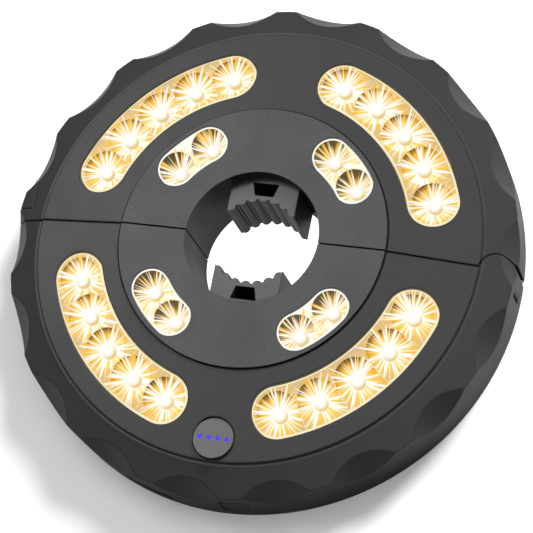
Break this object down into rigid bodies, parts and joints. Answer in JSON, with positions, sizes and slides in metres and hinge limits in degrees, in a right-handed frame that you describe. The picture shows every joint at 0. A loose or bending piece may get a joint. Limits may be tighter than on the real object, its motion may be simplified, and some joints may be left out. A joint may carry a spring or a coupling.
{
  "type": "patio umbrella light",
  "caption": "Round lamp ring in two hinged halves that clamps round an umbrella's pole between sprung, ribbed jaws, with reflector cups on its face and a latch, button and charging port.",
  "frame": {"origin": "on the pole's axis, in the plane of the flat back", "axes": "+Z the way the lamps face, +X to the hinge, +Y to the half without the button"},
  "size_m": [0.2, 0.2, 0.034],
  "materials": {
    "housing": "fine-grained",
    "inner_plate": "fine-grained",
    "jaw": "satin",
    "inner_moulding": "satin",
    "reflector": "metallised",
    "lamp": "clear over phosphor",
    "board": "solder mask",
    "spring_steel": "plain",
    "steel": "zinc plated",
    "switch": "plain",
    "button": "satin",
    "charge_light": "lit",
    "soft_rubber": "matte",
    "battery": "shrink sleeve"
  },
  "bodies": {
    "lower_half": {"battery_left": "battery", "battery_right": "battery", "control_board": "board", "hinge_pin": "steel", "lower_back_cover": "housing", "lower_hook_pin": "steel", "lower_housing": "housing", "lower_inner_plate": "inner_plate", "lower_inner_reflectors": "reflector", "lower_jaw_guide": "inner_moulding", "lower_jaw_spring": "spring_steel", "lower_lamp_board": "board", "lower_lamps": "lamp", "lower_outer_reflectors": "reflector", "lower_screws": "steel", "switch_plunger": "switch", "tact_switch": "switch", "usb_socket": "steel"},
    "upper_half": {"latch_pin": "steel", "latch_spring": "spring_steel", "upper_back_cover": "housing", "upper_hook_pin": "steel", "upper_housing": "housing", "upper_inner_plate": "inner_plate", "upper_inner_reflectors": "reflector", "upper_jaw_guide": "inner_moulding", "upper_jaw_spring": "spring_steel", "upper_lamp_board": "board", "upper_lamps": "lamp", "upper_outer_reflectors": "reflector", "upper_screws": "steel"},
    "upper_jaw": {"upper_jaw": "jaw"},
    "lower_jaw": {"lower_jaw": "jaw"},
    "upper_hook": {"upper_hook": "jaw"},
    "lower_hook": {"lower_hook": "jaw"},
    "power_button": {"power_button": "button", "charge_lights": "charge_light"},
    "usb_cover": {"usb_cover": "soft_rubber"},
    "latch_lever": {"latch_lever": "housing"}
  },
  "joints": [
    {"name": "half_hinge", "type": "hinge", "parent": "lower_half", "child": "upper_half", "pos_m": [0.094, 0, 0.01], "axis": [0, 0, -1], "range_deg": [0, 55]},
    {"name": "upper_jaw_slide", "type": "slide", "parent": "upper_half", "child": "upper_jaw", "axis": [0, 1, 0], "range_m": [0, 0.0069], "stiffness_N_per_m": 1500, "springref_m": -0.004, "deforming": ["upper_jaw_spring"]},
    {"name": "lower_jaw_slide", "type": "slide", "parent": "lower_half", "child": "lower_jaw", "axis": [0, -1, 0], "range_m": [0, 0.0069], "stiffness_N_per_m": 1500, "springref_m": -0.004, "deforming": ["lower_jaw_spring"]},
    {"name": "power_button_press", "type": "slide", "parent": "lower_half", "child": "power_button", "axis": [0, 0, -1], "range_m": [0, 0.0006], "stiffness_N_per_m": 2500, "springref_m": -0.0004, "deforming": ["switch_plunger"]},
    {"name": "usb_cover_hinge", "type": "hinge", "parent": "lower_half", "child": "usb_cover", "pos_m": [0.00379, -0.09922, 0.011], "axis": [0, 0, -1], "range_deg": [0, 90], "stiffness_Nm_per_rad": 0.001},
    {"name": "upper_hook_swing", "type": "hinge", "parent": "upper_half", "child": "upper_hook", "pos_m": [0.03108, 0.08907, 0.0067], "axis": [0, 0, -1], "range_deg": [0, 85]},
    {"name": "lower_hook_swing", "type": "hinge", "parent": "lower_half", "child": "lower_hook", "pos_m": [-0.03108, -0.08907, 0.0067], "axis": [0, 0, -1], "range_deg": [0, 85]},
    {"name": "latch_press", "type": "hinge", "parent": "upper_half", "child": "latch_lever", "pos_m": [-0.0964, 0.0113, 0.0186], "axis": [0, -1, 0], "range_deg": [0, 7], "stiffness_Nm_per_rad": 0.5, "springref_deg": -5.73, "deforming": ["latch_spring"]}
  ]
}
